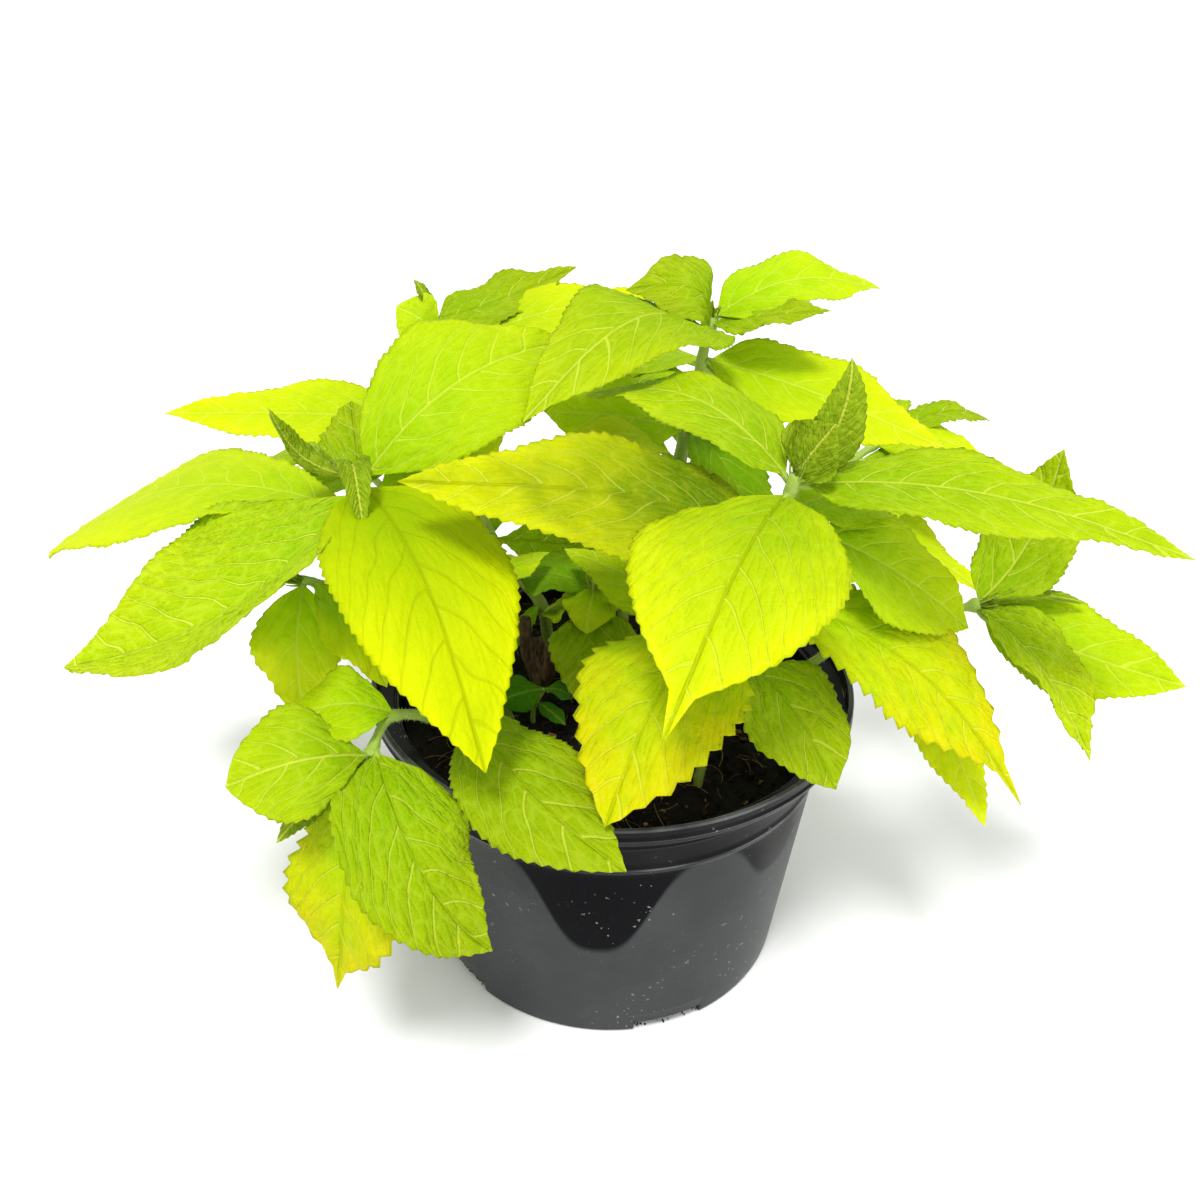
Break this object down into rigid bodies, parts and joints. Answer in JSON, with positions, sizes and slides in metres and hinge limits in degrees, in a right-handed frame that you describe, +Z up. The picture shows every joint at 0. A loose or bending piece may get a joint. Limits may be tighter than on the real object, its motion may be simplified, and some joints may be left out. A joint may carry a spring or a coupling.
{
  "type": "potted leafy plant",
  "caption": "Bushy lime-leaved foliage plant with broad toothed leaves on spreading stems, standing in the soil of a round black nursery pot",
  "frame": {"origin": "centre of the flat pad and foot ring under the pot, on which it rests", "axes": "+Z is up and is the pot's axis; -Y faces the viewer of the picture and +X is to the viewer's right"},
  "size_m": [0.4692, 0.3496, 0.2872],
  "materials": {
    "pot": "glossy black moulded plastic with fine scratches and dust",
    "soil": "damp dark potting soil with bark chips and fine roots",
    "leaf": "soft matt leaf, yellow-lime to green, with raised veins",
    "weed": "smooth dark green leaf",
    "wood": "dry brown woody stem"
  },
  "bodies": {
    "root": {"pot": "pot", "soil": "soil", "stem_front_left": "leaf", "stem_left_low": "leaf", "stem_left_mid": "leaf", "stem_front_right": "leaf", "stem_back_right": "leaf", "stem_back_left": "leaf", "stem_right": "leaf", "stem_inner": "leaf", "stem_basal_left": "leaf", "stem_basal_right": "leaf", "stem_back_far_right": "leaf", "stem_back_centre": "leaf", "stem_back_far_left": "leaf", "seedling": "weed", "woody_crown": "wood"}
  },
  "joints": []
}
